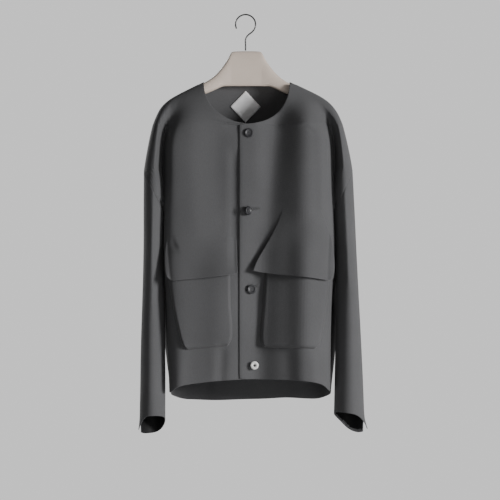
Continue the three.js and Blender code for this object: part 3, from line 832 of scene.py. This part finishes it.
def flap_place(side, rows):
    """Where a flap's cloth lies: it leaves the front without a seam and hangs free below."""
    top, foot = rows[0].drop, rows[-1].drop

    def place(share, step):
        corner = FLAP_CORNER[side] * outer_round(share) ** 2 * step ** 3
        corner += FLAP_INNER_CORNER[side] * inner_round(share, FLAP_INNER_SHARE) ** 2 * step ** 3
        drop = mix(top, foot + FLAP_SLANT[side] * share ** SLANT_POWER - corner, step)
        row = mix(top, foot, step)
        x = mix(on_rows(rows, "inner", row), on_rows(rows, "outer", row), share) * MM
        z = (HANGER_TOP - drop) * MM
        out = FLAP_LIFT * step ** FLAP_POWER - FLAP_SINK
        wave = FLAP_WAVE * math.sin(share * FLAP_WAVE_RADIANS + side) * step ** 2
        return Vector((x, LaidOn.y_at(x, z, FLAP_WIDEN * (1 - step)) - (out + wave) * MM, z))

    return place


def pocket_place(side, rows):
    """Where a pocket's cloth lies: flat on top, and turned back to the front at its edges."""
    top, foot = rows[0].drop, rows[-1].drop

    def place(share, step):
        near_foot = outer_round(step) ** 2
        row = mix(top, foot, step)
        outer_corner = POCKET_CORNER * outer_round(share) ** 2 * near_foot
        inner_corner = POCKET_CORNER * inner_round(share, POCKET_INNER_SHARE) ** 2 * near_foot
        drop = row - POCKET_TILT[side] * (1 - share) * step ** 2 - outer_corner - inner_corner
        x = mix(on_rows(rows, "inner", row), on_rows(rows, "outer", row), share) * MM
        z = (HANGER_TOP - drop) * MM
        edge = clamp(min(share, 1 - share) / POCKET_EDGE)
        rim = clamp((1 - step) / POCKET_RIM)
        turned = (1 - (1 - edge) ** 2) ** 0.5 * (1 - (1 - rim) ** 2) ** 0.5
        sag = POCKET_SAG * math.sin(step * SAG_RADIANS_DOWN + SAG_RADIANS_ACROSS * share + side)
        lift = mix(POCKET_MOUTH_LIFT, POCKET_LIFT, smooth(step / POCKET_FULL))
        out = (lift + sag * smooth(step / SAG_FULL)) * turned - POCKET_SINK
        return Vector((x, LaidOn.y_at(x, z) - out * MM, z))

    return place


class BLOUSON_OT_flaps(bpy.types.Operator):
    """Lets the flaps grow out of the fronts."""

    bl_idname = "blouson.flaps"
    bl_label = "Flaps"

    def execute(self, context):
        cuts = (
            (LEFT, "flap_left", FLAP_LEFT, (0.15, 0.105), 0.0133),
            (RIGHT, "flap_right", FLAP_RIGHT, (0.18, 0.15), 0.0195),
        )
        for side, node, rows, flat, area in cuts:
            piece = laid_cloth(node + "_cloth", node, flap_place(side, rows), 72, 44)
        return {"FINISHED"}


class BLOUSON_OT_pockets(bpy.types.Operator):
    """Sets the patch pockets on the fronts."""

    bl_idname = "blouson.pockets"
    bl_label = "Pockets"

    def execute(self, context):
        cuts = (
            (LEFT, "pocket_left", POCKET_LEFT, (0.165, 0.2), 0.0235),
            (RIGHT, "pocket_right", POCKET_RIGHT, (0.17, 0.2), 0.0265),
        )
        for side, node, rows, flat, area in cuts:
            piece = laid_cloth(node + "_cloth", node, pocket_place(side, rows), 90, 84)
        return {"FINISHED"}


class BLOUSON_OT_label(bpy.types.Operator):
    """Places the bare label inside the back neck."""

    bl_idname = "blouson.label"
    bl_label = "Label"

    def execute(self, context):
        piece = refined("label_tape", "label", "label", 2, 1.0)
        return {"FINISHED"}


class BLOUSON_OT_hanger(bpy.types.Operator):
    """Shapes the hanger and its hook."""

    bl_idname = "blouson.hanger"
    bl_label = "Hanger"

    def execute(self, context):
        refined("hanger_body", "hanger", "hanger", 2, 0.3)
        refined("hook_wire", "hook", "wire", 2, 0.6)
        return {"FINISHED"}


# Half profile of a button across its face: share of the radius, share of the depth.
DARK_PROFILE = (
    (0.0, 0.0), (0.80, 0.0), (0.97, 0.16), (1.0, 0.42), (0.97, 0.72), (0.90, 0.93),
    (0.82, 1.0), (0.74, 0.97), (0.66, 0.80), (0.56, 0.66), (0.3, 0.62), (0.0, 0.62),
)
PALE_PROFILE = (
    (0.0, 0.0), (0.80, 0.0), (0.97, 0.16), (1.0, 0.42), (0.96, 0.74), (0.84, 0.95),
    (0.68, 1.0), (0.50, 0.95), (0.38, 0.74), (0.31, 0.40), (0.28, 0.30), (0.0, 0.30),
)
BUTTON_STEPS = 48
# The pale ring's radius as a share of a dark button's.
PALE_SHARE = 0.88
# Shares of a dark button's radius: its holes' place and size, and the ends of its thread shank.
HOLE_PLACE = 0.22
HOLE_SIZE = 0.095
SHANK_ENDS = (0.28, 0.24)
SHANK_LENGTH = 0.0022
# The height of its thread bars, as a share of its depth.
BARS_HEIGHT = 0.66
# The pale ring's knot: its radius as a share of a dark button's, how flat it is, and its
# height as a share of the depth.
KNOT_RADIUS = 0.25
KNOT_FLAT = 0.3
KNOT_HEIGHT = 0.34


def button_axis(node):
    """The centre of a CAD button and the direction that it faces."""
    points = np.array([tuple(vertex.co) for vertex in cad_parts[node].data.vertices])
    centre = (points.max(axis=0) + points.min(axis=0)) / 2
    facing = Vector(np.linalg.svd(points - points.mean(axis=0))[2][2])
    facing = facing if facing.y < 0 else -facing
    return Vector(centre), facing.normalized()


def spun(profile, radius, depth, steps):
    """A solid of revolution about the local Z axis, standing on the XY plane."""
    bm = bmesh.new()
    verts = [bm.verts.new((x * radius, 0.0, z * depth)) for x, z in profile]
    edges = [bm.edges.new(pair) for pair in zip(verts, verts[1:])]
    bmesh.ops.spin(bm, geom=verts + edges, axis=(0, 0, 1), cent=(0, 0, 0), angle=2 * math.pi, steps=steps,
                   use_merge=True)
    bmesh.ops.remove_doubles(bm, verts=bm.verts, dist=0.00001)
    bmesh.ops.recalc_face_normals(bm, faces=bm.faces)
    return bm


def set_on(bm, centre, facing):
    """Moves a piece made about the origin onto its place, facing outwards."""
    turn = Vector((0, 0, 1)).rotation_difference(facing).to_matrix()
    bmesh.ops.rotate(bm, verts=bm.verts, cent=(0, 0, 0), matrix=turn)
    bmesh.ops.translate(bm, verts=bm.verts, vec=centre)


def thread_bars(bm, places, length, radius, height):
    """Short bars of sewing thread over a button's holes."""
    for x, y, turn in places:
        made = bmesh.ops.create_icosphere(bm, subdivisions=2, radius=radius)
        bmesh.ops.scale(bm, verts=made["verts"], vec=(length / radius, 1.0, 0.7))
        aim = Vector((math.cos(turn), math.sin(turn), 0))
        matrix = Vector((1, 0, 0)).rotation_difference(aim).to_matrix()
        bmesh.ops.rotate(bm, verts=made["verts"], cent=(0, 0, 0), matrix=matrix)
        bmesh.ops.translate(bm, verts=made["verts"], vec=(x, y, height))


def dark_thread(bm, radius, depth):
    """Two bars of thread over a dark button's holes, and the shank behind it."""
    places = ((0, radius * HOLE_PLACE, 0), (0, -radius * HOLE_PLACE, 0))
    thread_bars(bm, places, radius * (HOLE_PLACE + HOLE_SIZE), radius * HOLE_SIZE, depth * BARS_HEIGHT)
    made = bmesh.ops.create_cone(bm, cap_ends=True, segments=20, radius1=radius * SHANK_ENDS[0],
                                 radius2=radius * SHANK_ENDS[1], depth=SHANK_LENGTH)
    bmesh.ops.translate(bm, verts=made["verts"], vec=(0, 0, -SHANK_LENGTH / 2))


def pale_knot(bm, radius, depth):
    """The flat knot of thread in the middle of the pale ring."""
    made = bmesh.ops.create_icosphere(bm, subdivisions=3, radius=radius * KNOT_RADIUS)
    bmesh.ops.scale(bm, verts=made["verts"], vec=(1, 1, KNOT_FLAT))
    bmesh.ops.translate(bm, verts=made["verts"], vec=(0, 0, depth * KNOT_HEIGHT))


class BLOUSON_OT_buttons(bpy.types.Operator):
    """Turns the buttons and sews them on."""

    bl_idname = "blouson.buttons"
    bl_label = "Buttons"

    def execute(self, context):
        radius, depth = sizes().button_radius, sizes().button_depth
        for number in (1, 2, 3, 4):
            node = f"button_{number}"
            pale = number == 4
            centre, facing = button_axis(node)
            back = centre - facing * depth / 2
            if pale:
                bm = spun(PALE_PROFILE, radius * PALE_SHARE, depth, BUTTON_STEPS)
            else:
                bm = spun(DARK_PROFILE, radius, depth, BUTTON_STEPS)
            set_on(bm, back, facing)
            finish, slot = ("shell", "button_pale") if pale else ("button", "button_dark")
            piece = new_piece(node + "_disc", bm, finish)
            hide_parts(node)
            bm = bmesh.new()
            if pale:
                pale_knot(bm, radius, depth)
            else:
                dark_thread(bm, radius, depth)
            set_on(bm, back, facing)
            new_piece(node + "_thread", bm, "thread")
        return {"FINISHED"}


# Buttonholes that show: where each starts beside its button and ends, and how far its lips
# stand open, in mm. They go with buttons 2 and 3.
Hole = namedtuple("Hole", "start_x start_z end_x end_z open")
HOLES = (
    Hole(10, -408.5, 29, -406, 2.1),
    Hole(18, -568, 27, -560.5, 1.6),
)
LIP_RADIUS = 0.0012
LIP_CORNERS = 18
# How far the lips draw together at the end away from the button, and how far they stand proud.
LIP_PINCH = 0.75
LIP_RAISE = 0.0005


class BLOUSON_OT_buttonholes(bpy.types.Operator):
    """Works the two buttonholes that show beside their buttons."""

    bl_idname = "blouson.buttonholes"
    bl_label = "Buttonholes"

    def execute(self, context):
        for number, hole in enumerate(HOLES, 2):
            curve = bpy.data.curves.new("lips", "CURVE")
            curve.dimensions = "3D"
            curve.bevel_depth = LIP_RADIUS
            curve.bevel_resolution = 3
            curve.resolution_u = 6
            spline = curve.splines.new("NURBS")
            spline.points.add(LIP_CORNERS - 1)
            spline.use_cyclic_u = True
            start, end = Vector((hole.start_x, hole.start_z)), Vector((hole.end_x, hole.end_z))
            along = (end - start) / 2
            across = Vector((-along.y, along.x)).normalized() * hole.open
            for k in range(LIP_CORNERS):
                angle = 2 * math.pi * k / LIP_CORNERS
                pinch = 1 - LIP_PINCH * smooth((math.cos(angle) + 1) / 2)
                flat = (start + end) / 2 + along * math.cos(angle) + across * math.sin(angle) * pinch
                x, z = flat.x * MM, flat.y * MM
                spline.points[k].co = (x, LaidOn.y_at(x, z) - LIP_RAISE, z, 1)
            holder = bpy.data.objects.new("lips", curve)
            context.scene.collection.objects.link(holder)
            context.view_layer.update()
            mesh = bpy.data.meshes.new_from_object(holder.evaluated_get(context.evaluated_depsgraph_get()))
            bm = bmesh.new()
            bm.from_mesh(mesh)
            bpy.data.objects.remove(holder)
            bpy.data.curves.remove(curve)
            bpy.data.meshes.remove(mesh)
            new_piece(f"buttonhole_{number}_lips", bm, "lips")
        return {"FINISHED"}


# Stage

VIEW_WIDTH = 1.022
VIEW_CENTRE = Vector((0.0092, 0.0, -0.4865))
VIEW_DISTANCE = 4.0
VIEW_ELEVATION = -5.0

Lamp = namedtuple("Lamp", "name place aim size power")
LAMPS = (
    Lamp("key", (3.75, -2.65, -0.1), (0.0, 0.0, -0.5), 1.3, 255.0),
    Lamp("fill", (-0.6, -4.0, -0.3), (0.0, 0.0, -0.5), 2.0, 10.0),
    Lamp("bounce", (0.9, -2.1, -1.34), (-0.1, 0.1, -0.78), 0.6, 8.0),
    Lamp("rear", (-1.7, 3.4, 1.3), (0.0, 0.0, -0.5), 1.8, 70.0),
)
# Light of the surroundings behind and in front of the garment.
BACKDROP_LIGHT = 0.86
ROOM_LIGHT = 0.09
# How far a direction has to point to +Y for the backdrop to begin, and for it to be full.
BACKDROP_RANGE = (0.3, 0.97)
FLOOR_RADIUS = 2.2


class BLOUSON_OT_stage(bpy.types.Operator):
    """Lays the floor and sets the lights and the camera."""

    bl_idname = "blouson.stage"
    bl_label = "Stage"

    def execute(self, context):
        bm = bmesh.new()
        bmesh.ops.create_circle(bm, cap_ends=True, segments=96, radius=FLOOR_RADIUS)
        bmesh.ops.translate(bm, verts=bm.verts, vec=(0, 0, sizes().floor_height))
        new_piece("floor", bm, "floor", on_body=False)
        studio = Finish("studio", bpy.data.worlds)
        towards = studio.node("ShaderNodeTexCoord", output="Generated")
        share = studio.range(studio.split(towards, "Y"), *BACKDROP_RANGE, 0.0, 1.0)
        studio.feed(studio.tree.nodes["Background"].inputs["Color"], studio.blend(
            share, shade((ROOM_LIGHT,) * 3, 1.0), shade((BACKDROP_LIGHT,) * 3, 1.0)))
        context.scene.world = studio.material
        for lamp in LAMPS:
            light = bpy.data.lights.new(lamp.name, "AREA")
            light.shape = "DISK"
            light.size = lamp.size
            light.energy = lamp.power
            holder = bpy.data.objects.new(lamp.name, light)
            holder.location = lamp.place
            aim = Vector(lamp.aim) - Vector(lamp.place)
            holder.rotation_euler = aim.to_track_quat("-Z", "Y").to_euler()
            context.scene.collection.objects.link(holder)
        camera = bpy.data.cameras.new("view")
        camera.sensor_width = 36.0
        camera.lens = camera.sensor_width * VIEW_DISTANCE / VIEW_WIDTH
        camera.clip_end = 50.0
        holder = bpy.data.objects.new("view", camera)
        elevation = math.radians(VIEW_ELEVATION)
        towards_viewer = Vector((0, -math.cos(elevation), math.sin(elevation)))
        holder.location = VIEW_CENTRE + VIEW_DISTANCE * towards_viewer
        holder.rotation_euler = (math.radians(90) + math.radians(-VIEW_ELEVATION), 0, 0)
        context.scene.collection.objects.link(holder)
        context.scene.camera = holder
        return {"FINISHED"}


class BLOUSON_PT_panel(bpy.types.Panel):
    """Lists the pieces in the 3D view's sidebar."""

    bl_label = "Blouson"
    bl_idname = "BLOUSON_PT_panel"
    bl_space_type = "VIEW_3D"
    bl_region_type = "UI"
    bl_category = "Blouson"

    def draw(self, context):
        for group in (sizes(), colours()):
            for name in group.__annotations__:
                self.layout.prop(group, name)
        for operator in OPERATORS:
            self.layout.operator(operator.bl_idname)


OPERATORS = (
    BLOUSON_OT_stage,
    BLOUSON_OT_fronts,
    BLOUSON_OT_back,
    BLOUSON_OT_sleeves,
    BLOUSON_OT_flaps,
    BLOUSON_OT_pockets,
    BLOUSON_OT_buttons,
    BLOUSON_OT_buttonholes,
    BLOUSON_OT_label,
    BLOUSON_OT_hanger,
)
CLASSES = (BlousonSizes, BlousonColours, *OPERATORS, BLOUSON_PT_panel)


def register():
    for cls in CLASSES:
        bpy.utils.register_class(cls)
    bpy.types.Scene.blouson_sizes = PointerProperty(type=BlousonSizes)
    bpy.types.Scene.blouson_colours = PointerProperty(type=BlousonColours)


def unregister():
    del bpy.types.Scene.blouson_colours
    del bpy.types.Scene.blouson_sizes
    for cls in reversed(CLASSES):
        bpy.utils.unregister_class(cls)


def main():
    register()
    bpy.ops.blouson.stage()
    bpy.ops.blouson.fronts()
    bpy.ops.blouson.back()
    bpy.ops.blouson.sleeves()
    bpy.ops.blouson.flaps()
    bpy.ops.blouson.pockets()
    bpy.ops.blouson.buttons()
    bpy.ops.blouson.buttonholes()
    bpy.ops.blouson.label()
    bpy.ops.blouson.hanger()


if __name__ == "__main__":
    main()
